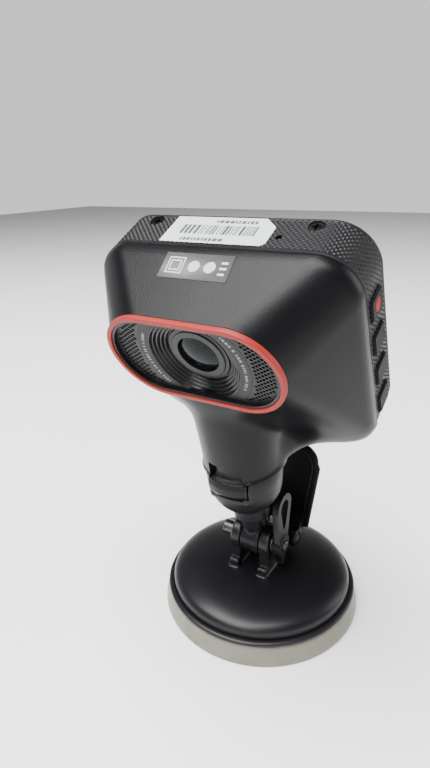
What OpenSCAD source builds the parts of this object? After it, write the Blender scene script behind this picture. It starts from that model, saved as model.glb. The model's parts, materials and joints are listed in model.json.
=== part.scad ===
// Dash camera on a suction-cup mount, millimetres, +Z up.
// The origin is the centre of the suction disc's flat underside and the lens looks toward -Y.
// The camera body is drawn in its own tilted frame (in_camera) and the mount head in another (in_head).

/* [Camera body] */
// Width of the camera body
body_w = 70; // [66:1:76]
// Height of the camera body
body_h = 61; // [58:1:66]
// Radius of the four outer corners
corner_r = 10.7; // [9:0.1:12]
// Depth of the textured rear housing
band_d = 13.2; // [12.8:0.1:13.6]
// Distance from the back plane to the front of the accent ring
body_d = 34.7; // [34:0.1:36]
// Wall thickness of both housings
wall = 1.8; // [1.5:0.1:2]
// Forward pitch of the camera body
camera_pitch = 27.5; // [24:0.5:30]

/* [Nose and lens] */
// Half width of the long rounded nose
nose_a = 23.9; // [23.5:0.1:24.5]
// Half height of the nose, which is also its end radius
nose_b = 12.9; // [12.6:0.1:13.2]
// Height of the lens axis above the middle of the body
lens_z = 12.5; // [12:0.1:13]
// Radius of the lens trim ring
trim_r = 8.1; // [7.9:0.1:8.3]
// Radius of the front glass
glass_r = 5.4; // [5:0.1:5.6]

/* [Buttons] */
// Number of side buttons
button_count = 4; // [4:1:4]
// Distance between side buttons
button_pitch = 10.3; // [9.8:0.1:10.4]
// Travel of a side button
button_travel = 0.5; // [0.3:0.1:0.5]

/* [Mount] */
// Radius of the suction disc
disc_r = 32.1; // [31.5:0.1:33]
// Height of the tilt hinge above the suction face
hinge_z = 25; // [24.5:0.1:26]
// Forward lean of the mount head as it stands
head_tilt = 12.25; // [10:0.25:14]
// Distance from the hinge to the rim of the camera neck
neck_h = 33.5; // [33:0.1:34]
// Radius of the rim of the camera neck
neck_r = 12; // [11.8:0.1:12.2]

/* [Hidden] */
$fn = 72;
fit = 0.1;
gap = 0.2;
camera_y = -0.55;
camera_z = 98.5;
hinge_y = -4;
strip_d = 16.2;
ring_t = 1.5;
ring_band = 1.25;
collar_band = 0.5;
plate_y = -33;
plate_t = 0.85;
crescent_r = 15.1;
hood_r = 12.3;
hood_steps = 5;
trim_y = -30.5;
glass_y = -30;
glass_bulge = 1.1;
button_y = -7.9;
button_top_z = 13.75;
button_size = [7.2, 6.1];
window_size = [58.6, 46.6];
panel_size = [56, 44];
screw_x = 21.7;
screw_y = -3.6;
dome_r = 29.3;
dome_z = 8;
dome_rise = 7.5;
flange_r = 31;
flange_z = 6.3;
cheek_in = 3.4;
cheek_out = 6.6;
cheek_r = 5;
bolt_r = 1.5;
lever_y = 9;
lever_z = 19;
lever_pin_r = 1.25;
lever_tip_z = 52.6;
plunger_r = 2.5;
cup_h = 32.7;
cup_shift = -0.9;
stem_r = 2.5;
face_slope = atan((body_h / 2 - lens_z - nose_b) / (body_d - ring_t - strip_d));

// ---- frames ----

module in_camera() {
  translate([0, camera_y, camera_z]) rotate([camera_pitch, 0, 0]) children();
}

module in_head() {
  translate([0, hinge_y, hinge_z]) rotate([head_tilt, 0, 0]) children();
}

module at_lens() {
  translate([0, 0, lens_z]) children();
}

// ---- shared shapes ----

module rounded_rect(w, h, r) {
  square([w - 2 * r, h], center = true);
  square([w, h - 2 * r], center = true);
  for (sx = [-1, 1], sy = [-1, 1])
    translate([sx * (w / 2 - r), sy * (h / 2 - r)]) circle(r);
}

module stadium(a, b) {
  square([2 * (a - b), 2 * b], center = true);
  for (s = [-1, 1]) translate([s * (a - b), 0]) circle(b);
}

// Extrudes a shape drawn in X and Z from the plane y = back to the plane y = front.
module y_slab(back, front) {
  translate([0, back, 0]) rotate([90, 0, 0]) linear_extrude(back - front) children();
}

// Cylinder along Y from y = back to y = front.
module y_rod(r, back, front) {
  translate([0, back, 0]) rotate([90, 0, 0]) cylinder(r = r, h = back - front);
}

// Cylinder along X between two planes.
module x_rod(r, x0, x1) {
  translate([x0, 0, 0]) rotate([0, 90, 0]) cylinder(r = r, h = x1 - x0);
}

module box(low, high) {
  translate(low) cube(high - low);
}

// Rounded plate in Y and Z, from x0 to x1, for the side buttons.
module x_plate(x0, x1, size, r) {
  translate([x0, 0, 0]) rotate([90, 0, 90]) linear_extrude(x1 - x0) rounded_rect(size[0], size[1], r);
}

// Compression spring standing on z = 0.
module coil_spring(r, wire, h, turns) {
  sides = 8;
  steps = turns * 14;
  ring = [for (i = [0 : steps]) for (j = [0 : sides - 1])
    let (a = 360 * turns * i / steps, b = 360 * j / sides, reach = r + wire / 2 * cos(b))
    [reach * cos(a), reach * sin(a), wire / 2 + (h - wire) * i / steps + wire / 2 * sin(b)]];
  skin = [for (i = [0 : steps - 1]) for (j = [0 : sides - 1])
    let (k = (j + 1) % sides, p = i * sides)
    each [[p + j, p + k, p + sides + k], [p + j, p + sides + k, p + sides + j]]];
  first = [for (j = [sides - 1 : -1 : 0]) j];
  last = [for (j = [0 : sides - 1]) steps * sides + j];
  polyhedron(points = ring, faces = concat(skin, [first, last]));
}

function button_z(i) = button_top_z - i * button_pitch;

// ---- camera housings ----

module nose_loft(side, front_a, front_b, back, front) {
  hull() {
    y_slab(back, -strip_d + side) rounded_rect(body_w - 2 * side, body_h - 2 * side, corner_r - side, $fn = 32);
    at_lens() y_slab(front + 0.2, front) stadium(front_a, front_b, $fn = 32);
  }
}

// The neck runs from under the nose down to its round rim.
module neck_outer() {
  hull() {
    in_camera() box([-neck_r - 4, -32.2, -0.5], [neck_r + 4, -16, 4]);
    in_head() translate([0, 0.4, neck_h + 13]) cylinder(r = neck_r + 0.9, h = 1, $fn = 32);
  }
  hull() {
    in_head() translate([0, 0.4, neck_h + 13]) cylinder(r = neck_r + 0.9, h = 1, $fn = 32);
    in_head() translate([0, 0, neck_h]) cylinder(r = neck_r, h = 1, $fn = 32);
  }
  hull() {
    in_camera() box([-19.5, -strip_d, -body_h / 2], [19.5, -band_d, -body_h / 2 + 3]);
    in_camera() box([-15, -25, -8], [15, -strip_d, -6]);
    in_head() translate([0, 0, neck_h + 0.6]) cylinder(r = neck_r, h = 1, $fn = 32);
  }
}

module screw_tongue(s) {
  for (x = [-screw_x, screw_x]) {
    translate([x, 0, 0]) mirror([0, 0, s]) difference() {
      union() {
        box([-3, -15.5, 25.6], [3, -2.05, body_h / 2 - wall - 0.15]);
        box([-3, -15.5, 25.6], [3, -band_d - 0.2, body_h / 2 - 1]);
      }
      translate([0, screw_y, 20]) cylinder(r = 0.95, h = 12);
    }
  }
}

module front_housing() {
  color([0.11, 0.11, 0.12]) {
    difference() {
      union() {
        in_camera() nose_loft(0, nose_a, nose_b, -band_d, -body_d + ring_t);
        difference() {
          neck_outer();
          in_camera() box([-40, -band_d, -40], [40, 10, 40]);
        }
      }
      in_camera() nose_loft(wall, nose_a - 2.4, nose_b - 2.4, -band_d + 0.5, -31.5);
      in_camera() at_lens() y_slab(-31.1, -34) stadium(nose_a - 0.95, nose_b - 0.95);
      in_head() translate([0, 0, neck_h - 1]) cylinder(r = 10.4, h = 11.5);
      in_head() box([-5.1, -neck_r - 3, neck_h - 1], [5.1, -9, neck_h + 4.8]);
    }
    in_camera() for (s = [0, 1]) screw_tongue(s);
  }
}

module rear_housing() {
  half_h = body_h / 2;
  color([0.16, 0.16, 0.17]) in_camera() difference() {
    hull() {
      y_slab(-1.2, -band_d) rounded_rect(body_w, body_h, corner_r, $fn = 64);
      y_slab(0, -1) rounded_rect(body_w - 1.6, body_h - 1.6, corner_r - 0.8, $fn = 64);
    }
    y_slab(-1.9, -band_d - 1) rounded_rect(body_w - 2 * wall, body_h - 2 * wall, corner_r - wall);
    y_slab(1, -1.1) rounded_rect(window_size[0] + 0.4, window_size[1] + 0.4, 2.2);
    y_slab(0, -3) rounded_rect(panel_size[0] - 1, panel_size[1] - 1, 1);
    for (i = [0 : button_count - 1])
      translate([body_w / 2 - wall - 1, button_y, button_z(i)])
        x_plate(0, wall + 2, button_size + [0.4, 0.4], 1.1);
    for (x = [-screw_x, screw_x], s = [0, 1]) mirror([0, 0, s]) {
      translate([x, screw_y, half_h - 1.3]) cylinder(r = 1.95, h = 2);
      translate([x, screw_y, half_h - 3]) cylinder(r = 1.1, h = 3);
    }
    translate([14.7, -8.4, half_h - 3]) cylinder(r = 0.8, h = 4);
    box([-body_w / 2 - 1, -9.7, 3.8], [-body_w / 2 + wall + 1, -5.1, 13.2]);
    box([-body_w / 2 - 1, -7.1, -12.2], [-body_w / 2 + wall + 1, -5.7, 0.2]);
  }
}

// ---- nose ----

module accent_ring() {
  color([0.78, 0.33, 0.3]) in_camera() at_lens() difference() {
    y_slab(-body_d + ring_t, -body_d) stadium(nose_a, nose_b);
    y_slab(-30, -body_d - 1) stadium(nose_a - ring_band, nose_b - ring_band);
  }
}

// Outline of the plates inside the nose, within the dark collar.
module nose_window(grow = 0) {
  inset = ring_band + 2 * fit + collar_band - grow;
  stadium(nose_a - inset, nose_b - inset);
}

module nose_grilles() {
  color([0.06, 0.06, 0.07]) in_camera() at_lens() difference() {
    y_slab(plate_y + plate_t, plate_y) nose_window();
    y_rod(crescent_r + 0.05, -31, -34);
  }
}

module bezel_crescents() {
  color([0.24, 0.24, 0.25]) in_camera() at_lens() difference() {
    intersection() {
      y_slab(plate_y + plate_t, plate_y - 0.05) nose_window();
      y_rod(crescent_r, -31, -34);
    }
    y_rod(hood_r + 0.05, -31, -34);
  }
}

// Stepped funnel of concentric ribs around the lens.
module hood_profile() {
  step_r = (hood_r - trim_r - 0.2) / hood_steps;
  step_y = 0.55;
  stairs = [for (i = [0 : hood_steps - 1]) each [
    [hood_r - i * step_r, -plate_y - i * step_y],
    [hood_r - (i + 0.35) * step_r, -plate_y - i * step_y],
    [hood_r - (i + 0.6) * step_r, -plate_y - (i + 1.5) * step_y],
    [hood_r - (i + 1) * step_r, -plate_y - (i + 1.5) * step_y]]];
  polygon(concat([[trim_r + 0.2, 28.2], [hood_r, 28.2]], stairs));
}

module lens_hood() {
  collar = ring_band + fit;
  color([0.07, 0.07, 0.08]) in_camera() at_lens() {
    difference() {
      y_slab(-31.15, -body_d + 0.5) stadium(nose_a - collar, nose_b - collar);
      y_slab(-32.1, -body_d) nose_window(0.05);
      y_rod(hood_r - 1, -31, -33);
    }
    intersection() {
      rotate([90, 0, 0]) rotate_extrude() hood_profile();
      union() {
        y_slab(-31.15, -33.2) nose_window();
        y_slab(-27, -31.2) stadium(nose_a - 3.2, nose_b - 2.3);
      }
    }
  }
}

module lens_trim_ring() {
  color([0.2, 0.2, 0.21]) in_camera() at_lens() difference() {
    union() {
      y_rod(trim_r, -27.9, trim_y);
      y_rod(trim_r - 1, -27.9, trim_y - 0.35);
    }
    y_rod(glass_r + 0.05, -27, -32);
  }
}

module front_lens() {
  ball_r = (glass_r * glass_r + glass_bulge * glass_bulge) / (2 * glass_bulge);
  color([0.05, 0.07, 0.08]) in_camera() at_lens() intersection() {
    y_rod(glass_r, -26.4, -32);
    translate([0, glass_y - glass_bulge + ball_r, 0]) sphere(r = ball_r);
  }
}

module lens_barrel() {
  color([0.08, 0.08, 0.08]) in_camera() at_lens() difference() {
    union() {
      y_rod(trim_r, -22, -27.9);
      y_rod(6, -14, -22.1);
    }
    y_rod(7, -22.8, -28.5);
    y_rod(4.8, -13, -23);
  }
}

module middle_lens() {
  color([0.3, 0.36, 0.4]) in_camera() at_lens() y_rod(6.95, -23, -25.2);
}

module rear_lens() {
  color([0.3, 0.36, 0.4]) in_camera() at_lens() y_rod(4.75, -15.5, -17.5);
}

module lens_holder() {
  color([0.1, 0.1, 0.1]) in_camera() at_lens() difference() {
    union() {
      y_rod(7.4, -13, -19);
      y_slab(-12.05, -13.6) square(16, center = true);
    }
    y_rod(6.05, -13.2, -20);
    y_slab(-11, -13.3) square([11, 9], center = true);
  }
}

// ---- electronics ----

module image_sensor() {
  color([0.2, 0.25, 0.2]) in_camera() at_lens() y_slab(-12.05, -13) square([7.4, 5.8], center = true);
}

module sensor_board() {
  color([0.05, 0.3, 0.16]) in_camera() at_lens() y_slab(-10.8, -12) square([24, 20], center = true);
}

module main_board() {
  color([0.05, 0.3, 0.16]) in_camera() difference() {
    box([-32, -8.6, -22], [26.5, -7.4, 22]);
    box([-33, -9.5, 4], [-25.3, -6.5, 13]);
  }
}

module processor_shield() {
  color([0.7, 0.7, 0.72]) in_camera() box([-24, -10.3, -4], [-6, -8.65, 14]);
}

module display_panel() {
  color([0.1, 0.1, 0.12]) in_camera() y_slab(-1.95, -4.4) square(panel_size, center = true);
}

module display_window() {
  color([0.03, 0.03, 0.04]) in_camera() y_slab(0, -1.05) rounded_rect(window_size[0], window_size[1], 2);
}

module battery() {
  color([0.75, 0.75, 0.78]) in_camera() box([-25, -15.6, -24], [5, -10.6, -6.5]);
}

module speaker() {
  color([0.3, 0.3, 0.32]) in_camera() translate([18, 0, -14]) {
    y_rod(7, -10.6, -13);
    y_rod(4, -12.9, -14);
  }
}

module microphone() {
  color([0.7, 0.65, 0.4]) in_camera() translate([14.7, -8.4, body_h / 2 - wall - 1.6]) cylinder(r = 2, h = 1.5);
}

module button_board() {
  color([0.05, 0.3, 0.16]) in_camera() box([29, -12, -22], [30.2, -3.8, 19]);
}

module button_switches() {
  color([0.75, 0.75, 0.75]) in_camera() for (i = [0 : button_count - 1])
    translate([30.25, button_y, button_z(i)]) {
      x_plate(0, 1.2, [4.4, 3.4], 0.3);
      x_rod(0.9, 1.1, 1.65);
    }
}

// ---- side buttons ----

module side_button(i) {
  face_x = body_w / 2 + 0.55;
  flange_x = body_w / 2 - wall - 0.75;
  color([0.17, 0.17, 0.18]) in_camera() translate([0, button_y, button_z(i)]) difference() {
    union() {
      x_plate(flange_x + 0.3, face_x - 0.3, button_size, 0.9);
      x_plate(face_x - 0.4, face_x, button_size - [0.5, 0.5], 0.7);
      x_plate(flange_x, flange_x + 0.6, button_size + [1.4, 1.4], 1.4);
    }
    if (i == 0) x_rod(1.75, face_x - 0.4, face_x + 1);
  }
}

module record_button() {
  side_button(0);
}

module up_button() {
  side_button(1);
}

module down_button() {
  side_button(2);
}

module power_button() {
  side_button(3);
}

module record_mark() {
  color([0.8, 0.3, 0.28]) in_camera() translate([body_w / 2 + 0.55, button_y, button_z(0)]) x_rod(1.72, -0.38, 0.05);
}

// ---- fasteners, sockets and labels ----

module case_screws() {
  color([0.15, 0.15, 0.16]) in_camera() for (x = [-screw_x, screw_x], s = [0, 1]) mirror([0, 0, s])
    translate([x, screw_y, body_h / 2 - 1.28]) {
      difference() {
        cylinder(r = 1.75, h = 1);
        translate([0, 0, 0.5]) cube([2.2, 0.5, 1.2], center = true);
        translate([0, 0, 0.5]) cube([0.5, 2.2, 1.2], center = true);
      }
      translate([0, 0, -5]) cylinder(r = 0.92, h = 5.05);
    }
}

module card_slot() {
  color([0.7, 0.7, 0.72]) in_camera() difference() {
    box([-33, -7.35, -13.2], [-17, -5.45, 1.2]);
    box([-34, -6.95, -12], [-18, -5.85, 0]);
  }
}

module memory_card() {
  color([0.08, 0.08, 0.09]) in_camera() box([-33.6, -6.8, -11.6], [-18.6, -6, -0.4]);
}

module usb_socket() {
  color([0.72, 0.72, 0.75]) in_camera() difference() {
    box([-34.2, -9.4, 4.2], [-25.5, -5.4, 12.8]);
    box([-35, -9, 4.6], [-26, -5.8, 12.4]);
  }
  color([0.1, 0.1, 0.1]) in_camera() box([-33, -7.8, 5.6], [-25.8, -7, 11.4]);
}

module serial_label() {
  color([0.93, 0.94, 0.94]) in_camera() translate([0, 0, body_h / 2]) linear_extrude(0.15)
    polygon([[-15.7, -12.3], [11.7, -12.3], [12.7, -11.3], [12.7, -5.1], [9.2, -1.8], [-15.7, -1.8]]);
}

module approval_sticker() {
  color([0.45, 0.46, 0.48]) in_camera() translate([0, -strip_d, body_h / 2]) rotate([face_slope, 0, 0])
    box([-10.3, -7.2, 0], [8, -0.2, 0.12]);
}

module neck_socket() {
  color([0.13, 0.13, 0.14]) in_head() difference() {
    translate([0, 0, neck_h + 0.5]) cylinder(r = 10.35, h = 6.2);
    box([-5.9, -2.4, neck_h], [5.9, 7.8, neck_h + 9]);
    box([-5.1, -11, neck_h], [5.1, -6.6, neck_h + 4.8]);
  }
}

// ---- mount head ----

module cup_profile() {
  polygon([
    [0, 16.2], [5.2, 16.2], [7.2, 17.9], [9.2, 20.4], [10.6, 23.6], [11.2, 27.6], [11.3, 30.4], [10.9, cup_h],
    [9.2, cup_h], [8.9, 27], [7.9, 22.6], [6.6, 19.8], [5.6, 18.4], [0, 18.4]
  ]);
}

module mount_head() {
  color([0.13, 0.13, 0.14]) in_head() difference() {
    union() {
      translate([0, cup_shift, 0]) rotate_extrude() cup_profile();
      box([-5.7, 2.8, 20.6], [5.7, 7.6, neck_h + 6]);
      box([-5.7, -2.2, 27], [5.7, 4, neck_h + 6]);
      box([-6.4, -11.2, 25.2], [6.4, -6.6, cup_h]);
    }
    box([-5, -14, 26.4], [5, -7.6, neck_h]);
    cylinder(r = stem_r + fit, h = 25);
  }
}

// Thumb tab that stands in the notch at the front of the neck.
module latch() {
  color([0.07, 0.07, 0.08]) in_head() difference() {
    union() {
      box([-4.7, -11.3, 27], [4.7, -9.4, neck_h + 4.4]);
      box([-4.7, -12.9, 28.4], [4.7, -11.2, 31.6]);
    }
    translate([0, -9.3, 30]) rotate([90, 0, 0]) cylinder(r = 2.1, h = 1.4);
  }
}

module latch_spring() {
  color([0.75, 0.75, 0.76]) in_head() translate([0, -7.6, 30]) rotate([90, 0, 0]) coil_spring(1.6, 0.4, 1.8, 3);
}

module swivel_screw() {
  color([0.6, 0.6, 0.62]) in_head() {
    difference() {
      translate([0, 0, 18.55]) cylinder(r = 3.6, h = 1.6);
      translate([0, 0, 20]) cube([5, 0.8, 1.2], center = true);
    }
    translate([0, 0, 10.5]) cylinder(r = 1.2, h = 8.1);
  }
}

module head_arm() {
  color([0.1, 0.1, 0.11]) in_head() difference() {
    union() {
      x_rod(cheek_r, -cheek_in + 0.3, cheek_in - 0.3);
      translate([0, 0, 2]) cylinder(r = cheek_in - 0.3, h = 10);
      translate([0, 0, cheek_r + 0.4]) cylinder(r = 3.6, h = 6);
      translate([0, 0, 11]) cylinder(r = 5.6, h = 5);
      translate([0, 0, 15]) cylinder(r = stem_r, h = 3.5);
    }
    x_rod(bolt_r + fit, -6, 6);
    translate([0, 0, 10.4]) cylinder(r = 1.25, h = 9);
  }
}

// ---- hinge ----

module hinge_bolt() {
  color([0.5, 0.5, 0.52]) translate([0, hinge_y, hinge_z]) {
    x_rod(bolt_r, -8, 10.9);
    x_rod(2.4, -11, -7.25);
  }
}

module hinge_washers() {
  color([0.6, 0.6, 0.62]) translate([0, hinge_y, hinge_z]) for (x = [-7.2, cheek_out + 0.05]) difference() {
    x_rod(3.3, x, x + 0.55);
    x_rod(bolt_r + 0.05, x - 1, x + 2);
  }
}

// Teardrop thumb lever that clamps the tilt hinge.
module lock_lever() {
  eye_z = 14;
  color([0.1, 0.1, 0.11]) translate([0, hinge_y, hinge_z]) difference() {
    union() {
      x_rod(3.6, 7.5, 10.3);
      hull() {
        translate([0, 0, eye_z]) x_rod(4.7, 8.1, 10.1, $fn = 32);
        x_rod(2.6, 8.1, 10.1, $fn = 32);
      }
      hull() {
        x_rod(2.4, 8.1, 10.1, $fn = 32);
        translate([0, 0, -5.6]) x_rod(1.4, 8.1, 10.1, $fn = 32);
      }
    }
    x_rod(bolt_r + fit, 5, 12);
    hull() {
      translate([0, 0, eye_z]) x_rod(2.6, 7, 12, $fn = 32);
      translate([0, 0, eye_z - 7]) x_rod(0.7, 7, 12, $fn = 32);
    }
  }
}

// ---- suction base ----

// Outline of the dome from its edge to its top, shrunk by a wall thickness t.
function dome_curve(t) = [for (i = [0 : 14]) let (u = 1 - pow(1 - i / 14, 1.6))
  [(dome_r - t) * pow(1 - pow(u, 4), 0.87), dome_z + (dome_rise - t) * u]];

module suction_dome() {
  slot = [6.4, 4.4];
  color([0.12, 0.12, 0.13]) {
    difference() {
      rotate_extrude() polygon(concat([[0, flange_z], [flange_r, flange_z], [flange_r, flange_z + 1.2]], dome_curve(0)));
      rotate_extrude() polygon(concat([[0, flange_z - 1], [dome_r - 2.2, flange_z - 1]], dome_curve(2.2)));
      box([-slot[0] / 2, lever_y - slot[1] / 2, 10], [slot[0] / 2, lever_y + slot[1] / 2, 18]);
      translate([0, 0, 5]) cylinder(r = plunger_r + fit, h = 9.9);
    }
    for (s = [-1, 1]) difference() {
      union() {
        translate([0, hinge_y, hinge_z]) x_rod(cheek_r, min(s * cheek_in, s * cheek_out), max(s * cheek_in, s * cheek_out));
        box([min(s * cheek_in, s * cheek_out), hinge_y - 4, 14.5], [max(s * cheek_in, s * cheek_out), hinge_y + 4, hinge_z]);
        box([min(s * cheek_in, s * cheek_out), hinge_y - 5.6, 14.5], [max(s * cheek_in, s * cheek_out), hinge_y + 5.6, 17.5]);
      }
      translate([0, hinge_y, hinge_z]) x_rod(bolt_r + 0.02, -12, 12);
    }
    difference() {
      cylinder(r = 4.6, h = 14.5);
      translate([0, 0, -1]) cylinder(r = 10, h = 12.2);
      translate([0, 0, 5]) cylinder(r = plunger_r + fit, h = 9.9);
    }
  }
}

// Pull rod: foot in the disc, guide post, yoke to the rear and an eye for the lever pin.
module plunger() {
  color([0.15, 0.15, 0.16]) difference() {
    union() {
      translate([0, 0, 2.6]) cylinder(r = 3.9, h = 1.4);
      translate([0, 0, 3.5]) cylinder(r = plunger_r, h = 8.7);
      box([-2.4, 0, 6.6], [2.4, lever_y + 2, 8.4]);
      box([-2.9, lever_y - 2, 6.6], [2.9, lever_y + 2, lever_z]);
      translate([0, lever_y, lever_z]) x_rod(2.4, -2.9, 2.9);
    }
    translate([0, lever_y, lever_z]) x_rod(lever_pin_r + 0.02, -6, 6);
  }
}

module plunger_spring() {
  color([0.75, 0.75, 0.76]) translate([0, lever_y, 8.5]) coil_spring(3.9, 0.7, 4.4, 2);
}

module lever_pin() {
  color([0.7, 0.7, 0.72]) translate([0, lever_y, lever_z]) x_rod(lever_pin_r, -9.4, 9.4);
}

module suction_lever() {
  hub_in = 3.3;
  hub_out = 9.2;
  paddle = [lever_y + 3.2, lever_y + 5.4];
  color([0.1, 0.1, 0.11]) difference() {
    union() {
      for (s = [-1, 1]) translate([s * (hub_in + hub_out) / 2, lever_y, lever_z]) {
        x_rod(3.1, -(hub_out - hub_in) / 2, (hub_out - hub_in) / 2);
        hull() {
          translate([0, 2.2, 0]) x_rod(2.6, -(hub_out - hub_in) / 2, (hub_out - hub_in) / 2, $fn = 32);
          translate([0, 4.3, 6]) x_rod(1.1, -(hub_out - hub_in) / 2, (hub_out - hub_in) / 2, $fn = 32);
        }
      }
      hull() {
        translate([0, 0, lever_z + 4]) y_slab(paddle[1], paddle[0]) square([22.5, 3], center = true);
        translate([0, 0, lever_tip_z - 9]) y_slab(paddle[1], paddle[0]) square([28.6, 2], center = true);
        translate([0, 0, lever_tip_z - 6]) y_slab(paddle[1], paddle[0]) stadium(13.6, 6, $fn = 32);
      }
    }
    translate([0, lever_y, lever_z]) x_rod(lever_pin_r + fit, -12, 12);
    hull() {
      translate([0, 0, lever_z + 9]) y_slab(paddle[0] + 0.9, paddle[0] - 1) square([19, 3], center = true);
      translate([0, 0, lever_tip_z - 6.8]) y_slab(paddle[0] + 0.9, paddle[0] - 1) stadium(11.8, 4.6, $fn = 32);
    }
  }
}

module suction_disc() {
  color([0.84, 0.83, 0.78]) rotate_extrude() polygon([
    [0, 0], [disc_r - 0.3, 0], [disc_r, 0.4], [disc_r, 1.2], [disc_r - 0.6, 3.6], [disc_r - 1.2, 5.4],
    [disc_r - 1.6, flange_z - 0.05], [dome_r - 2.4, flange_z - 0.05], [dome_r - 2.6, 2.6],
    [6.6, 2.6], [6.2, 5.8], [4.1, 5.8], [4.1, 2], [0, 2]
  ]);
}

front_housing();
rear_housing();
accent_ring();
nose_grilles();
bezel_crescents();
lens_hood();
lens_trim_ring();
front_lens();
lens_barrel();
middle_lens();
rear_lens();
lens_holder();
image_sensor();
sensor_board();
main_board();
processor_shield();
display_panel();
display_window();
battery();
speaker();
microphone();
button_board();
button_switches();
record_button();
up_button();
down_button();
power_button();
record_mark();
case_screws();
card_slot();
memory_card();
usb_socket();
serial_label();
approval_sticker();
neck_socket();
mount_head();
latch();
latch_spring();
swivel_screw();
head_arm();
hinge_bolt();
hinge_washers();
lock_lever();
suction_dome();
plunger();
plunger_spring();
lever_pin();
suction_lever();
suction_disc();
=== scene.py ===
import json
import math
import random

import bmesh
import bpy
import numpy as np
from mathutils import Matrix, Vector

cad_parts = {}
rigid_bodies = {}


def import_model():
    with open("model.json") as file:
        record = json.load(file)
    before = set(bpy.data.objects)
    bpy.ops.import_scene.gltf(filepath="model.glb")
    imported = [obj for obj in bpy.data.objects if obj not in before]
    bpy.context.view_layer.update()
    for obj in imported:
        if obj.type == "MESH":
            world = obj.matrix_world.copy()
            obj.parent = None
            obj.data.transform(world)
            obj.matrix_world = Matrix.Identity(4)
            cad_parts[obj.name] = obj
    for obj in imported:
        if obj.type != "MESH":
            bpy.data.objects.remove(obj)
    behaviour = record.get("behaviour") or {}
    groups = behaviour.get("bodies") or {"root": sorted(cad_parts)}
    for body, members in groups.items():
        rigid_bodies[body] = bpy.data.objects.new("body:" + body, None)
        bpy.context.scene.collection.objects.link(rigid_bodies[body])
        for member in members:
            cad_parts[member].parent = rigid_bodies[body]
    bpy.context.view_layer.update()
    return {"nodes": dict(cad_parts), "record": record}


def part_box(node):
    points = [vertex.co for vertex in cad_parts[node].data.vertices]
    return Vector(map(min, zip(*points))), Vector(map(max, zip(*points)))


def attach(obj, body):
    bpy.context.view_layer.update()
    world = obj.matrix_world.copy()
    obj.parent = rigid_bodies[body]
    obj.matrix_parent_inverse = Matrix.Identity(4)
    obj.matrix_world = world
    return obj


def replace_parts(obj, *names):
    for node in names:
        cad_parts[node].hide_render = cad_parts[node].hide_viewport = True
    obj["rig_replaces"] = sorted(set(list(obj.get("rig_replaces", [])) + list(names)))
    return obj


# Looks of a dash camera on a suction-cup mount. Shapes are drawn in millimetres and turned into
# metres when their mesh is made. World: origin under the middle of the suction disc, lens toward -Y.
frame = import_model()
NODES = frame["nodes"]
SLOTS = {part["node"]: part["material_slot"] for part in frame["record"]["subparts"]}
BODIES = {node: body for body, nodes in frame["record"]["behaviour"]["bodies"].items() for node in nodes}
JOINTS = {joint["name"]: joint for joint in frame["record"]["behaviour"]["joints"]}
MM = 0.001

# ---- sizes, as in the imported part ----

CAMERA_PITCH = math.radians(27.5)
CAMERA_ORIGIN = (0, -0.55, 98.5)
BODY_W = 70.0
BODY_H = 61.0
CORNER_R = 10.7
WALL = 1.8
BAND_Y = -13.2
STRIP_Y = -16.2
NOSE_Y = -33.2
NOSE_A = 23.9
NOSE_B = 12.9
LENS_Z = 12.5
PLATE_Y = -33.0
PLATE_INSET = 1.95
CRESCENT_R = 15.1
NECK_H = 33.5
NECK_R = 12.0
BUTTON_TOP_Z = 13.75
BUTTON_PITCH = 10.3
BUTTON_Y = -7.9
BUTTON_SIZE = (7.2, 6.1)
BUTTON_COUNT = 4
SCREW_X = 21.7
SCREW_Y = -3.6
SCREW_HOLE_R = 1.95
WINDOW_H = 46.6
CUP_TOP = 32.7
CUP_SHIFT = 0.9
LATCH_BACK = 9.4
LATCH_SPRING_Z = 30
LATCH_SPRING_R = 2.1
DOME_R = 29.3
DOME_Z = 8
DOME_RISE = 7.5
DOME_WALL = 2.2
FLANGE_Z = 6.3
CHEEK_IN = 3.4
CHEEK_OUT = 6.6
CHEEK_R = 5
CHEEK_FOOT_Z = 13.5

HINGE = [1000 * value for value in JOINTS["head_tilt"]["pos_m"]]
LEVER = [1000 * value for value in JOINTS["lever_fold"]["pos_m"]]
swivel_axis = JOINTS["head_swivel"]["axis"]
HEAD_TILT = math.atan2(-swivel_axis[1], swivel_axis[2])
DISC_R = 1000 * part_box("suction_disc")[1].x
LEVER_TIP_Z = 1000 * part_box("suction_lever")[1].z


# ---- frames ----

def turned(points, origin, angle):
    """Points drawn in a frame that leans forward about X, in world millimetres."""
    x, y, z = np.asarray(points, float).T
    c, s = math.cos(angle), math.sin(angle)
    return np.stack([origin[0] + x, origin[1] + y * c - z * s, origin[2] + y * s + z * c], 1)


def unturned(points, origin, angle):
    """World millimetres, in a frame that leans forward about X."""
    x, y, z = (np.asarray(points, float) - origin).T
    c, s = math.cos(angle), math.sin(angle)
    return np.stack([x, y * c + z * s, z * c - y * s], 1)


def in_camera(points):
    return turned(points, CAMERA_ORIGIN, CAMERA_PITCH)


def in_head(points):
    return turned(points, HINGE, HEAD_TILT)


def in_world(points):
    return np.asarray(points, float)


def head_from_camera(x, y, z):
    """Camera frame coordinates, seen in the mount head's frame."""
    flat = np.stack([np.ravel(x), np.ravel(y), np.ravel(z)], 1)
    moved = unturned(in_camera(flat), HINGE, HEAD_TILT)
    return [moved[:, k].reshape(np.shape(x)) for k in range(3)]


# ---- distance fields ----

def smooth_min(a, b, k):
    h = np.clip(0.5 + 0.5 * (b - a) / k, 0, 1)
    return b + (a - b) * h - k * h * (1 - h)


def smooth_max(a, b, k):
    return -smooth_min(-a, -b, k)


def rounded_rect_field(u, v, half_u, half_v, r):
    du = np.abs(u) - half_u + r
    dv = np.abs(v) - half_v + r
    outside = np.hypot(np.maximum(du, 0), np.maximum(dv, 0))
    return outside + np.minimum(np.maximum(du, dv), 0) - r


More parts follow.
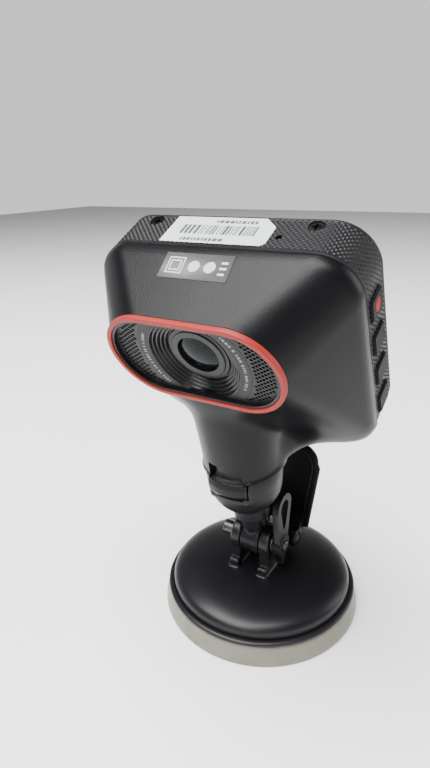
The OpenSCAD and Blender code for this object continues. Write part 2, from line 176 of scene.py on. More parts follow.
def box_field(x, y, z, low, high, r=0.4):
    sides = []
    for value, a, b in zip((x, y, z), low, high):
        sides.append(np.abs(value - (a + b) / 2) - (b - a) / 2 + r)
    outside = np.sqrt(sum(np.maximum(side, 0) ** 2 for side in sides))
    inside = np.minimum(np.maximum(np.maximum(sides[0], sides[1]), sides[2]), 0)
    return outside + inside - r


def rod_field(along, u, v, start, end, radius, r=0.3):
    """Round rod of a radius between two planes, with its edges rounded by r."""
    du = np.hypot(u, v) - radius + r
    dv = np.abs(along - (start + end) / 2) - (end - start) / 2 + r
    outside = np.hypot(np.maximum(du, 0), np.maximum(dv, 0))
    return outside + np.minimum(np.maximum(du, dv), 0) - r


def polygon_field(u, v, outline):
    """Signed distance to a closed outline, negative inside."""
    far = np.full(np.shape(u), 1e9)
    inside = np.zeros(np.shape(u), bool)
    for (au, av), (bu, bv) in zip(outline, outline[1:] + outline[:1]):
        eu, ev = bu - au, bv - av
        if math.hypot(eu, ev) < 1e-9:
            continue
        t = np.clip(((u - au) * eu + (v - av) * ev) / (eu * eu + ev * ev), 0, 1)
        far = np.minimum(far, np.hypot(u - au - t * eu, v - av - t * ev))
        if ev:
            inside ^= ((av > v) != (bv > v)) & (u < au + eu * (v - av) / ev)
    return np.where(inside, -far, far)


def revolved_field(outline, step=0.12, margin=3.0):
    """Field of an outline in radius and height, looked up on a fine grid."""
    low_z = min(p[1] for p in outline) - margin
    high_z = max(p[1] for p in outline) + margin
    high_r = max(p[0] for p in outline) + margin
    radii = np.arange(0, high_r, step)
    heights = np.arange(low_z, high_z, step)
    mirrored = outline + [(-u, v) for u, v in reversed(outline)]
    grid = polygon_field(*np.meshgrid(radii, heights, indexing="ij"), mirrored)

    def field(r, z):
        i = np.clip(r / step, 0, len(radii) - 1.001)
        j = np.clip((z - low_z) / step, 0, len(heights) - 1.001)
        a, b = i.astype(int), j.astype(int)
        s, t = i - a, j - b
        near = grid[a, b] * (1 - t) + grid[a, b + 1] * t
        return near * (1 - s) + (grid[a + 1, b] * (1 - t) + grid[a + 1, b + 1] * t) * s

    return field


def curve_through(points, steps=6):
    """A smooth curve through a few outline points."""
    ends = [points[0]] + list(points) + [points[-1]]
    found = []
    for a, b, c, d in zip(ends, ends[1:], ends[2:], ends[3:]):
        for i in range(steps):
            t = i / steps
            found.append(tuple(
                0.5 * (2 * b[k] + (c[k] - a[k]) * t
                       + (2 * a[k] - 5 * b[k] + 4 * c[k] - d[k]) * t * t
                       + (3 * b[k] - a[k] - 3 * c[k] + d[k]) * t ** 3)
                for k in (0, 1)))
    return found + [tuple(points[-1])]


def surface_net(field, low, high, step, rounds=4):
    """Quads on the surface where a field is zero, inside a box, with each corner moved onto it."""
    axes = [np.arange(a, b + step, step) for a, b in zip(low, high)]
    value = field(*np.meshgrid(*axes, indexing="ij"))
    cells = tuple(n - 1 for n in value.shape)
    total = [np.zeros(cells) for _ in range(3)]
    count = np.zeros(cells)
    for axis in range(3):
        for a in (0, 1):
            for b in (0, 1):
                start = [a, b]
                start.insert(axis, 0)
                end = list(start)
                end[axis] = 1
                v0, v1 = [value[tuple(slice(o, o + n) for o, n in zip(corner, cells))]
                          for corner in (start, end)]
                crossed = (v0 < 0) != (v1 < 0)
                t = np.where(crossed, v0 / np.where(crossed, v0 - v1, 1), 0)
                count += crossed
                for k in range(3):
                    total[k] += np.where(crossed, start[k] + (t if k == axis else 0), 0)
    active = count > 0
    number = np.full(cells, -1)
    number[active] = np.arange(active.sum())
    mean = np.stack([part[active] / count[active] for part in total], 1)
    points = np.array(low, float) + step * (np.argwhere(active) + mean)
    faces = []
    inside = value < 0
    for axis in range(3):
        across = [k for k in range(3) if k != axis]
        behind = [slice(None)] * 3
        ahead = [slice(None)] * 3
        behind[axis] = slice(0, -1)
        ahead[axis] = slice(1, None)
        edges = np.argwhere(inside[tuple(behind)] != inside[tuple(ahead)])
        kept = np.ones(len(edges), bool)
        for k in across:
            kept &= (edges[:, k] > 0) & (edges[:, k] < cells[k])
        edges = edges[kept]
        corners = []
        for du, dv in ((-1, -1), (0, -1), (0, 0), (-1, 0)):
            cell = edges.copy()
            cell[:, across[0]] += du
            cell[:, across[1]] += dv
            corners.append(number[tuple(cell.T)])
        faces.append(np.stack(corners, 1))
    reach = 0.1 * step
    for _ in range(rounds):
        here = field(*points.T)
        slope = np.zeros_like(points)
        for k in range(3):
            shift = np.zeros(3)
            shift[k] = reach
            slope[:, k] = (field(*(points + shift).T) - field(*(points - shift).T)) / (2 * reach)
        move = (here / np.maximum((slope ** 2).sum(1), 1e-3))[:, None] * slope
        size = np.linalg.norm(move, axis=1, keepdims=True)
        points = points - move * np.minimum(1, 0.6 * step / np.maximum(size, 1e-9))
    return points, np.concatenate(faces)


# ---- meshes ----

def add_object(name, data):
    obj = bpy.data.objects.new(name, data)
    bpy.context.scene.collection.objects.link(obj)
    return obj


def add_mesh(name, points, faces, place=in_world):
    mesh = bpy.data.meshes.new(name)
    mesh.from_pydata((place(points) * MM).tolist(), [], [[int(i) for i in face] for face in faces])
    work = bmesh.new()
    work.from_mesh(mesh)
    bmesh.ops.recalc_face_normals(work, faces=work.faces)
    work.to_mesh(mesh)
    work.free()
    return add_object(name, mesh)


def add_field(name, field, low, high, step, place=in_world):
    return add_mesh(name, *surface_net(field, low, high, step), place)


def rounded_rect(w, h, r, per_corner=12, centre=(0, 0)):
    found = []
    for k, (su, sv) in enumerate(((1, 1), (-1, 1), (-1, -1), (1, -1))):
        for i in range(per_corner + 1):
            a = math.radians(90 * (k + i / per_corner))
            found.append((centre[0] + su * (w / 2 - r) + r * math.cos(a),
                          centre[1] + sv * (h / 2 - r) + r * math.sin(a)))
    return found


def stadium(a, b, sides=96):
    found = []
    for i in range(sides):
        angle = 2 * math.pi * (i + 0.5) / sides
        side = math.copysign(a - b, math.cos(angle))
        found.append((side + b * math.cos(angle), LENS_Z + b * math.sin(angle)))
    return found


def circle(r, sides=64, centre=(0, 0)):
    angles = [2 * math.pi * i / sides for i in range(sides)]
    return [(centre[0] + r * math.cos(a), centre[1] + r * math.sin(a)) for a in angles]


AXES = {"x": (1, 2, 0), "y": (0, 2, 1), "z": (0, 1, 2)}


def prism(outline, start, end, axis="y", first=0):
    """Points and faces of an outline extruded along an axis; first is the number of its first point."""
    u, v, w = AXES[axis]
    points = np.zeros((2 * len(outline), 3))
    for i, level in enumerate((start, end)):
        rows = slice(i * len(outline), (i + 1) * len(outline))
        points[rows, u] = [p[0] for p in outline]
        points[rows, v] = [p[1] for p in outline]
        points[rows, w] = level
    n = len(outline)
    faces = [[first + i, first + (i + 1) % n, first + n + (i + 1) % n, first + n + i] for i in range(n)]
    faces += [[first + i for i in range(n)][::-1], [first + n + i for i in range(n)]]
    return points, faces


def add_prisms(name, parts, place=in_world):
    """One mesh of several prisms, each given as (outline, start, end, axis)."""
    points, faces = [], []
    for part in parts:
        more, sides = prism(*part, first=sum(len(p) for p in points))
        points.append(more)
        faces += sides
    return add_mesh(name, np.concatenate(points), faces, place)


def box_part(low, high):
    corners = [(low[0], low[1]), (high[0], low[1]), (high[0], high[1]), (low[0], high[1])]
    return corners, low[2], high[2], "z"


def add_hull(name, points, place=in_world):
    mesh = bpy.data.meshes.new(name)
    work = bmesh.new()
    for p in place(points) * MM:
        work.verts.new(p)
    bmesh.ops.convex_hull(work, input=work.verts)
    bmesh.ops.delete(work, geom=[v for v in work.verts if not v.link_faces], context="VERTS")
    bmesh.ops.recalc_face_normals(work, faces=work.faces)
    work.to_mesh(mesh)
    work.free()
    return add_object(name, mesh)


def combine(obj, tool, operation="DIFFERENCE"):
    """Cuts tool from obj, or joins it to obj, and removes tool."""
    step = obj.modifiers.new("combine", "BOOLEAN")
    step.object = tool
    step.operation = operation
    step.solver = "MANIFOLD"
    bpy.context.view_layer.update()
    shape = obj.evaluated_get(bpy.context.evaluated_depsgraph_get())
    mesh = bpy.data.meshes.new_from_object(shape)
    obj.modifiers.clear()
    obj.data = mesh
    bpy.data.objects.remove(tool)
    return obj


def smooth_shade(obj, angle=35):
    obj.data.shade_smooth()
    obj.data.set_sharp_from_angle(angle=math.radians(angle))


def soften(obj, width, segments=2):
    """Rounds the edges of a mesh with modifiers, so the mesh under them keeps its shape."""
    sharp = math.radians(32)
    obj.data.shade_smooth()
    weld = obj.modifiers.new("weld", "WELD")
    weld.merge_threshold = 1e-6
    flat = obj.modifiers.new("flat", "DECIMATE")
    flat.decimate_type = "DISSOLVE"
    flat.angle_limit = math.radians(0.5)
    if width:
        bevel = obj.modifiers.new("bevel", "BEVEL")
        bevel.width = width * MM
        bevel.segments = segments
        bevel.limit_method = "ANGLE"
        bevel.angle_limit = sharp
        bevel.harden_normals = True
    normals = obj.modifiers.new("normals", "WEIGHTED_NORMAL")
    normals.keep_sharp = True
    if not width:
        split = obj.modifiers.new("split", "EDGE_SPLIT")
        split.split_angle = sharp


def place_piece(obj, node, material=None, instead=True):
    """Gives a new piece the body and slot of a CAD node and, unless told otherwise, shows it instead."""
    obj.data.materials.clear()
    obj.data.materials.append(material or LOOKS[SLOTS[node]])
    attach(obj, BODIES[node])
    if instead:
        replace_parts(obj, node)
    return obj


# ---- materials ----

class Shader:
    """Builds one node material around a Principled BSDF."""

    # A Mix node's colour sockets by number, because its number and vector sockets share their names.
    MIX_A = 6
    MIX_B = 7
    MIX_RESULT = 2

    def __init__(self, name, **values):
        self.material = bpy.data.materials.new(name)
        self.material.use_nodes = True
        self.tree = self.material.node_tree
        self.shader = self.tree.nodes["Principled BSDF"]
        for key, value in values.items():
            self.shader.inputs[key.replace("_", " ")].default_value = value
        self.place = self.add("ShaderNodeTexCoord").outputs["Object"]

    def add(self, kind, links=(), **values):
        node = self.tree.nodes.new(kind)
        for key, value in values.items():
            if key in node.inputs:
                node.inputs[key].default_value = value
            else:
                setattr(node, key, value)
        for key, output in dict(links).items():
            self.tree.links.new(output, node.inputs[key])
        return node

    def noise(self, scale, detail=3.0, roughness=0.5):
        return self.add("ShaderNodeTexNoise", {"Vector": self.place}, Scale=scale, Detail=detail,
                        Roughness=roughness).outputs["Fac"]

    def grain(self, scale):
        return self.add("ShaderNodeTexVoronoi", {"Vector": self.place}, Scale=scale).outputs["Distance"]

    def ramp(self, source, low, high, start=0.0, end=1.0):
        return self.add("ShaderNodeMapRange", {"Value": source}, **{
            "From Min": low, "From Max": high, "To Min": start, "To Max": end}).outputs["Result"]

    def blend(self, factor, first, second):
        node = self.add("ShaderNodeMix", data_type="RGBA")
        self.tree.links.new(factor, node.inputs["Factor"])
        for slot, value in ((self.MIX_A, first), (self.MIX_B, second)):
            if isinstance(value, tuple):
                node.inputs[slot].default_value = (*value, 1)
            else:
                self.tree.links.new(value, node.inputs[slot])
        return node.outputs[self.MIX_RESULT]

    def connect(self, output, name):
        self.tree.links.new(output, self.shader.inputs[name])

    def bump(self, height, strength, distance, under=None):
        links = {"Height": height}
        if under is not None:
            links["Normal"] = under
        node = self.add("ShaderNodeBump", links, Strength=strength, Distance=distance * MM)
        return node.outputs["Normal"]


def moulded(name, dark, light, rough, grain=2200, depth=0.02, worn=(0.5, 0.5, 0.5), wear=0.05,
            strength=0.3, **values):
    """Moulded plastic: spark-eroded grain, uneven gloss, faint handling marks and lighter edges."""
    s = Shader(name, **values)
    cloud = s.noise(55, 4)
    scuff = s.ramp(s.noise(340, 6, 0.7), 0.62, 0.8)
    edge = s.ramp(s.add("ShaderNodeNewGeometry").outputs["Pointiness"], 0.53, 0.62, 0, wear)
    colour = s.blend(s.ramp(cloud, 0.3, 0.7), dark, light)
    s.connect(s.blend(edge, colour, worn), "Base Color")
    low, high = rough
    uneven = s.ramp(cloud, 0.25, 0.75, low, high)
    s.connect(s.add("ShaderNodeMath", {0: uneven, 1: s.ramp(scuff, 0, 1, 0, 0.06)}).outputs[0], "Roughness")
    coarse = s.bump(s.grain(grain), strength, depth)
    s.connect(s.bump(s.noise(grain * 2.5, 2), strength * 0.6, depth * 0.5, coarse), "Normal")
    return s.material


def metal(name, colour, rough=(0.22, 0.38)):
    s = Shader(name, Metallic=1.0)
    brushed = s.noise(900, 5, 0.65)
    darker = tuple(0.7 * c for c in colour)
    s.connect(s.blend(s.ramp(brushed, 0.35, 0.65), darker, colour), "Base Color")
    s.connect(s.ramp(brushed, 0.3, 0.7, *rough), "Roughness")
    s.connect(s.bump(brushed, 0.15, 0.01), "Normal")
    return s.material


def polished(name, dark, light, rough=(0.03, 0.09), **values):
    """Clear or lacquered surface with the faintest haze and dust."""
    s = Shader(name, **values)
    haze = s.noise(140, 5, 0.6)
    dust = s.ramp(s.noise(2600, 2), 0.72, 0.78)
    s.connect(s.blend(dust, s.blend(s.ramp(haze, 0.3, 0.7), dark, light), (0.12, 0.12, 0.12)), "Base Color")
    s.connect(s.ramp(haze, 0.3, 0.7, *rough), "Roughness")
    s.connect(s.bump(s.noise(60, 2), 0.02, 0.02), "Normal")
    return s.material


def circuit(name):
    s = Shader(name)
    traces = s.add("ShaderNodeTexBrick", {"Vector": s.place}, Scale=260, offset=0.5)
    s.connect(s.blend(s.ramp(s.noise(700, 2), 0.55, 0.6), (0.012, 0.09, 0.04), (0.02, 0.16, 0.07)),
              "Base Color")
    s.connect(s.ramp(s.noise(90), 0.3, 0.7, 0.3, 0.45), "Roughness")
    s.connect(s.bump(traces.outputs["Fac"], 0.3, 0.03), "Normal")
    return s.material


def rubber_clear(name):
    """Soft translucent vinyl of the sucker, a little clouded and dusty."""
    s = Shader(name, Subsurface_Weight=0.35, Subsurface_Scale=0.004, Transmission_Weight=0.12, IOR=1.45)
    cloud = s.noise(70, 5, 0.6)
    s.connect(s.blend(s.ramp(cloud, 0.3, 0.7), (0.155, 0.149, 0.112), (0.205, 0.198, 0.157)), "Base Color")
    s.connect(s.ramp(cloud, 0.3, 0.7, 0.24, 0.42), "Roughness")
    s.connect(s.bump(s.noise(800, 4), 0.12, 0.03), "Normal")
    return s.material


def paper(name, dark, light, rough=(0.35, 0.5), **values):
    s = Shader(name, **values)
    fibre = s.noise(1500, 5, 0.6)
    s.connect(s.blend(s.ramp(fibre, 0.3, 0.7), dark, light), "Base Color")
    s.connect(s.ramp(s.noise(120), 0.3, 0.7, *rough), "Roughness")
    s.connect(s.bump(fibre, 0.1, 0.01), "Normal")
    return s.material


LOOKS = {
    "front_plastic": moulded("front_plastic", (0.0022, 0.0022, 0.0028), (0.0034, 0.0034, 0.0042),
                             (0.29, 0.36), grain=2300, depth=0.042, strength=0.55, Specular_IOR_Level=0.14),
    "rear_plastic": moulded("rear_plastic", (0.005, 0.005, 0.006), (0.008, 0.008, 0.009), (0.34, 0.44),
                            Specular_IOR_Level=0.15),
    "coral_plastic": moulded("coral_plastic", (0.211, 0.013, 0.01), (0.256, 0.019, 0.014), (0.36, 0.46),
                             worn=(0.8, 0.3, 0.25), Specular_IOR_Level=0.2),
    "grille_plastic": moulded("grille_plastic", (0.0062, 0.0062, 0.0068), (0.0098, 0.0098, 0.0105),
                              (0.3, 0.4), Specular_IOR_Level=0.2),
    "bezel_grey": moulded("bezel_grey", (0.006, 0.0057, 0.0064), (0.0086, 0.0083, 0.0097), (0.4, 0.5),
                          Specular_IOR_Level=0.2),
    "hood_plastic": moulded("hood_plastic", (0.0035, 0.0035, 0.004), (0.006, 0.006, 0.007), (0.32, 0.4),
                            Specular_IOR_Level=0.28),
    "trim_grey": moulded("trim_grey", (0.0055, 0.0058, 0.0065), (0.0083, 0.0085, 0.0097), (0.28, 0.36),
                         Specular_IOR_Level=0.22),
    "barrel_black": moulded("barrel_black", (0.006, 0.006, 0.006), (0.01, 0.01, 0.01), (0.45, 0.55)),
    "button_plastic": moulded("button_plastic", (0.004, 0.004, 0.005), (0.006, 0.006, 0.007), (0.5, 0.6),
                              Specular_IOR_Level=0.06),
    "mount_plastic": moulded("mount_plastic", (0.0035, 0.0035, 0.0045), (0.005, 0.005, 0.0065), (0.34, 0.42),
                             Specular_IOR_Level=0.17),
    "chip_black": moulded("chip_black", (0.015, 0.015, 0.016), (0.022, 0.022, 0.023), (0.5, 0.6)),
    "black_screw": metal("black_screw", (0.012, 0.012, 0.013), (0.3, 0.42)),
    "bright_steel": metal("bright_steel", (0.08, 0.08, 0.085), (0.3, 0.42)),
    "battery_foil": metal("battery_foil", (0.4235, 0.4312, 0.4466), (0.3, 0.5)),
    "lens_glass": polished("lens_glass", (0.002, 0.003, 0.004), (0.004, 0.007, 0.007),
                           Specular_IOR_Level=0.08, Coat_Weight=0.06, Coat_Roughness=0.02),
    "screen_black": polished("screen_black", (0.004, 0.004, 0.005), (0.006, 0.006, 0.008)),
    "gloss_black": polished("gloss_black", (0.004, 0.004, 0.005), (0.006, 0.006, 0.007), (0.14, 0.22)),
    "circuit_board": circuit("circuit_board"),
    "label_white": paper("label_white", (0.4774, 0.5082, 0.5082), (0.5544, 0.5775, 0.5775)),
    "sticker_grey": paper("sticker_grey", (0.046, 0.049, 0.051), (0.069, 0.072, 0.074), (0.45, 0.55)),
    "sucker_rubber": rubber_clear("sucker_rubber"),
}
RECORD_RED = moulded("record_red", (0.30, 0.006, 0.009), (0.38, 0.01, 0.013), (0.5, 0.6),
                     Specular_IOR_Level=0.05)
DOME_BLACK = moulded("dome_black", (0.0035, 0.0033, 0.0045), (0.005, 0.0047, 0.0062), (0.32, 0.39),
                     Specular_IOR_Level=0.26)
LEVER_BLACK = moulded("lever_black", (0.002, 0.002, 0.0026), (0.003, 0.003, 0.004), (0.36, 0.44),
                      Specular_IOR_Level=0.07)
LATCH_BLACK = moulded("latch_black", (0.002, 0.002, 0.0026), (0.003, 0.003, 0.004), (0.24, 0.3),
                      Specular_IOR_Level=0.14)
PRINT_DARK = paper("print_dark", (0.03, 0.035, 0.04), (0.06, 0.065, 0.07))
PRINT_PALE = paper("print_pale", (0.3465, 0.3542, 0.3619), (0.462, 0.4697, 0.4774))
PRINT_DIM = paper("print_dim", (0.1386, 0.1386, 0.1424), (0.2002, 0.2002, 0.2041))


# ---- front housing ----

def shell_field(x, y, z):
    """Outside of the front housing: the lofted nose, and the neck that flows out from under it."""
    crease = 0.09
    longest = 1.15
    groove_depth = 0.25
    side_flare = 0.022
    web_slope = 0.48
    web_spread = 3.3
    web_grows_over = 1.8
    chin_slope = 0.26
    u = (STRIP_Y - y) / (STRIP_Y - NOSE_Y)
    u = np.where(u > crease, u, np.where(u < -crease, 0, (u + crease) ** 2 / (4 * crease)))
    u = np.minimum(u, longest)
    half_w = BODY_W / 2 + (NOSE_A - BODY_W / 2) * u
    half_h = BODY_H / 2 + (NOSE_B - BODY_H / 2) * u
    radius = CORNER_R + (NOSE_B - CORNER_R) * u
    groove = groove_depth * np.clip((y - BAND_Y + 0.3) / 0.3, 0, 1)
    loft = 0.85 * rounded_rect_field(x, z - LENS_Z * u, half_w, half_h, radius) + groove
    hx, hy, hz = head_from_camera(x, y, z)
    rise = np.maximum(hz - NECK_H, 0)
    side_r = NECK_R + side_flare * np.maximum(rise - 4, 0) ** 1.5
    front = np.hypot(hx * NECK_R / side_r, hy) - NECK_R
    back_y = NECK_R + web_slope * rise
    back_half = NECK_R + web_spread * rise ** 0.8
    half = side_r * 0.98 + (back_half - side_r * 0.98) * np.clip(hy / back_y, -0.3, 1)
    web = smooth_max(smooth_max((np.abs(hx) - half) * 0.92, -2 - hy, 4), hy - back_y, 4)
    grown = np.clip(rise / web_grows_over, 0, 1)
    grown = grown * grown * (3 - 2 * grown)
    neck = smooth_min(front, front * (1 - grown) + web * grown, 2) * 0.95
    both = smooth_min(loft, np.maximum(neck, hz - 60), 9)
    both = np.maximum(both, np.abs(x) - BODY_W / 2 + 0.05)
    below = LENS_Z - NOSE_B - z
    face = NOSE_Y - chin_slope * np.maximum(below, 0) - 2 * np.maximum(-below, 0)
    both = smooth_max(both, face - y, 1.8)
    ends = np.maximum(NECK_H - 1.5 - hz, NOSE_Y - 1.5 - y - 9 * (z < -2))
    return np.maximum(np.maximum(both, y + 12), ends)


def nose_outline(y, a, b):
    return [(u, y, v) for u, v in stadium(a, b)]


front = add_field("housing_front", shell_field, (-36, -43, -37), (36, -11, 32), 0.6, in_camera)
combine(front, add_prisms("cut", [box_part((-40, BAND_Y, -40), (40, 0, 40))], in_camera))
combine(front, add_prisms("cut", [box_part((-40, -50, LENS_Z - NOSE_B), (40, NOSE_Y, 40))], in_camera))
combine(front, add_prisms("cut", [box_part((-40, -40, 20), (40, 40, NECK_H))], in_head))
inner = [(u, y, v) for u, v in rounded_rect(BODY_W - 2 * WALL, BODY_H - 2 * WALL, CORNER_R - WALL)
         for y in (-12, STRIP_Y + WALL)]
inner += nose_outline(-31.5, NOSE_A - 2.4, NOSE_B - 2.4)
combine(front, add_hull("cut", inner, in_camera))
combine(front, add_prisms("cut", [(stadium(NOSE_A - 0.95, NOSE_B - 0.95), -31.1, -34)], in_camera))
combine(front, add_prisms("cut", [(circle(10.4), NECK_H - 1, NECK_H + 10.5, "z")], in_head))
combine(front, add_prisms("cut", [box_part((-5.1, -15, NECK_H - 1), (5.1, -9, NECK_H + 4.8))], in_head))
smooth_shade(front)
place_piece(front, "front_housing")


# ---- rear housing ----

def knurled_band():
    """Closed block of the rear housing's outline, its sides cut with a diamond texture."""
    corner = CORNER_R
    relief = 0.24
    diamond = 1.4
    rows_per_diamond = 6
    straight = [BODY_W - 2 * corner, BODY_H - 2 * corner]
    length = 2 * sum(straight) + 2 * math.pi * corner
    pitch = length / round(length / diamond)
    steps = rows_per_diamond * round(length / diamond)
    rows = [BAND_Y, BAND_Y + 0.25]
    rows += list(np.arange(BAND_Y + 0.5, -1.3, pitch / rows_per_diamond))
    rows += [-1.2, -0.95, -0.7, -0.45, -0.2, 0]
    insets = {-1.2: 0.03, -0.95: 0.15, -0.7: 0.28, -0.45: 0.42, -0.2: 0.6, 0: 0.8,
              BAND_Y: 0.22, BAND_Y + 0.25: 0}
    path = []
    for i in range(steps):
        s = i * length / steps
        for k in range(4):
            side = straight[k % 2]
            if s <= side + math.pi * corner / 2:
                break
            s -= side + math.pi * corner / 2
        turn = min(max(0, (s - side) / corner), math.pi / 2)
        across, up = BODY_W / 2 - corner, BODY_H / 2 - corner
        signs = ((1, 1), (1, -1), (-1, -1), (-1, 1))[k]
        centre = np.array((signs[0] * across, signs[1] * up))
        heading = -k * math.pi / 2 + math.pi / 2 - turn
        normal = np.array((math.cos(heading), math.sin(heading)))
        along = np.array((math.cos(-k * math.pi / 2), math.sin(-k * math.pi / 2)))
        start = centre - along * max(0, side - s)
        path.append((start, normal, i * length / steps))
    points = []
    for y in rows:
        for start, normal, s in path:
            if y in insets:
                sunk = insets[y]
            else:
                u, v = s / pitch, (y - BAND_Y) / pitch
                ridge = min(abs((u + v) % 1 - 0.5), abs((u - v) % 1 - 0.5))
                fade = min(1, (-1.2 - y) / 0.8, (y - BAND_Y) / 0.8)
                sunk = max(0, fade) * relief * max(0, 1 - ridge / 0.34)
            p = start + normal * (corner - sunk)
            points.append((p[0], y, p[1]))
    n = len(path)
    faces = [[a * n + i, a * n + (i + 1) % n, (a + 1) * n + (i + 1) % n, (a + 1) * n + i]
             for a in range(len(rows) - 1) for i in range(n)]
    faces += [list(range(n)), [(len(rows) - 1) * n + i for i in range(n)][::-1]]
    return points, faces


def button_z(i):
    return BUTTON_TOP_Z - i * BUTTON_PITCH


rear = add_mesh("housing_rear", *knurled_band(), in_camera)
window = [1000 * (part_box("display_window")[1].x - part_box("display_window")[0].x), WINDOW_H]
hollow = rounded_rect(BODY_W - 2 * WALL, BODY_H - 2 * WALL, CORNER_R - WALL)
combine(rear, add_prisms("cut", [(hollow, BAND_Y - 1, -1.9)], in_camera))
window_hole = rounded_rect(window[0] + 0.4, window[1] + 0.4, 2.2)
combine(rear, add_prisms("cut", [(window_hole, -1.1, 1)], in_camera))
combine(rear, add_prisms("cut", [(rounded_rect(55, 43, 1), -3, 0.5)], in_camera))
holes = [(rounded_rect(BUTTON_SIZE[0] + 0.5, BUTTON_SIZE[1] + 0.5, 1.1, centre=(BUTTON_Y, button_z(i))),
          BODY_W / 2 - WALL - 1, BODY_W / 2 + 1, "x") for i in range(BUTTON_COUNT)]
holes += [(circle(SCREW_HOLE_R, 40, (x, SCREW_Y)), s * (BODY_H / 2 - 1.3), s * (BODY_H / 2 + 1), "z")
          for x in (-SCREW_X, SCREW_X) for s in (-1, 1)]
microphone_hole = circle(0.8, 24, (14.7, -8.4))
power_port = rounded_rect(4.6, 9.4, 0.8, centre=(-7.4, 8.5))
card_port = rounded_rect(1.4, 12.4, 0.4, centre=(-6.4, -6))
through_side = (-BODY_W / 2 - 1, -BODY_W / 2 + WALL + 1, "x")
holes += [(microphone_hole, BODY_H / 2 - 3, BODY_H / 2 + 1, "z"),
          (power_port, *through_side),
          (card_port, *through_side)]
combine(rear, add_prisms("cut", holes, in_camera))
smooth_shade(rear, 28)
place_piece(rear, "rear_housing")


# ---- nose ----

def lattice():
    """Fishnet plates on both sides of the lens: a stadium with the lens field and rhombic holes cut out."""
    outer = stadium(NOSE_A - PLATE_INSET, NOSE_B - PLATE_INSET)
    plate = add_prisms("grilles", [(outer, PLATE_Y + 0.85, PLATE_Y)], in_camera)
    lens_hole = circle(CRESCENT_R + 0.05, 128, (0, LENS_Z))
    combine(plate, add_prisms("cut", [(lens_hole, -30, -35)], in_camera))
    pitch_x, pitch_z = 1.7, 1.15
    bar = 0.26
    rim_margin = 2.7
    lens_margin = 0.75
    holes = []
    for i in range(-32, 33):
        for j in range(-24, 25):
            if (i + j) % 2:
                continue
            x, z = i * pitch_x / 2, j * pitch_z / 2
            span = max(0, abs(x) - (NOSE_A - NOSE_B))
            if math.hypot(span, z) > NOSE_B - rim_margin or math.hypot(x, z) < CRESCENT_R + lens_margin:
                continue
            half = (pitch_x / 2 - bar, pitch_z / 2 - bar * pitch_z / pitch_x)
            outline = [(x + half[0], LENS_Z + z), (x, LENS_Z + z + half[1]),
                       (x - half[0], LENS_Z + z), (x, LENS_Z + z - half[1])]
            holes.append((outline, -31, -34))
    return combine(plate, add_prisms("cut", holes, in_camera))


grilles = lattice()
smooth_shade(grilles, 30)
place_piece(grilles, "nose_grilles")


def arc_ticks():
    """Short raised dashes printed along both crescents, with no lettering."""
    parts = []
    chance = random.Random(11)
    half_arc = 37.0
    inner_r, outer_r = 13.3, 14.0
    for middle in (8, 187):
        angle = middle - half_arc
        while angle < middle + half_arc:
            width = chance.choice((1.2, 1.8, 2.6))
            start, end = math.radians(angle), math.radians(angle + width)
            corners = ((inner_r, start), (outer_r, start), (outer_r, end), (inner_r, end))
            outline = [(r * math.cos(a), LENS_Z + r * math.sin(a)) for r, a in corners]
            if all(abs(v - LENS_Z) < NOSE_B - 2.5 for _, v in outline):
                parts.append((outline, PLATE_Y - 0.04, PLATE_Y - 0.09))
            angle += width + chance.choice((1.4, 1.4, 3.2))
    return add_prisms("crescent_marks", parts, in_camera)


place_piece(arc_ticks(), "bezel_crescents", PRINT_DIM, instead=False)


# ---- label and sticker ----

def code_bars():
    """Generic bars and dashes on the white label."""
    chance = random.Random(5)
    parts = []
    low, high = BODY_H / 2 + 0.14, BODY_H / 2 + 0.17
    x = -11.8
    while x < 8.6:
        width = chance.choice((0.3, 0.5, 0.8))
        parts.append(box_part((x, -8.9, low), (x + width, -5.2, high)))
        x += width + chance.choice((0.3, 0.45, 0.65))
    for y, start, end in ((-4.2, -3.6, 7.4), (-11.6, -10.2, 1)):
        x = start
        while x < end:
            width = chance.choice((0.5, 0.8, 1.1))
            parts.append(box_part((x, y, low), (x + width, y + 1.15, high)))
            x += width + 0.35
    return add_prisms("label_marks", parts, in_camera)


place_piece(code_bars(), "serial_label", PRINT_DARK, instead=False)

FACE_SLOPE = math.atan2(BODY_H / 2 - LENS_Z - NOSE_B, STRIP_Y - NOSE_Y)


def in_sticker(points):
    """Frame of the sticker on the sloping top face, x across and y up the slope."""
    return in_camera(turned(points, (0, STRIP_Y, BODY_H / 2), FACE_SLOPE))


def sticker_marks():
    """Generic outlined squares, discs and strokes, standing for the printed symbols."""
    parts = []
    line = 0.35
    z0, z1 = 0.115, 0.14
    for low, high in (((-8.9, -5.9), (-4.4, -1.4)), ((-8.1, -5.1), (-5.2, -2.2))):
        parts += [box_part((low[0], low[1], z0), (high[0], low[1] + line, z1)),
                  box_part((low[0], high[1] - line, z0), (high[0], high[1], z1)),
                  box_part((low[0], low[1] + line, z0), (low[0] + line, high[1] - line, z1)),
                  box_part((high[0] - line, low[1] + line, z0), (high[0], high[1] - line, z1))]
    for x in (-1.6, 2.6):
        parts.append((circle(1.5, 32, (x, -3.7)), z0, z1, "z"))
    for k in range(3):
        parts.append(box_part((5.2, -5.6 + 1.5 * k, z0), (6.9, -5.0 + 1.5 * k, z1)))
    return add_prisms("sticker_marks", parts, in_sticker)


place_piece(sticker_marks(), "approval_sticker", PRINT_PALE, instead=False)


# ---- mount head and arm ----

cup_outer = curve_through([(0, 16.2), (5.2, 16.2), (7.2, 17.9), (9.2, 20.4), (10.6, 23.6), (11.2, 27.6),
                           (11.3, 30.4), (10.9, CUP_TOP)])
cup_inner = curve_through([(9.2, CUP_TOP), (8.9, 27), (7.9, 22.6), (6.6, 19.8), (5.6, 18.4), (0, 18.4)])
cup_wall = revolved_field(cup_outer + cup_inner)


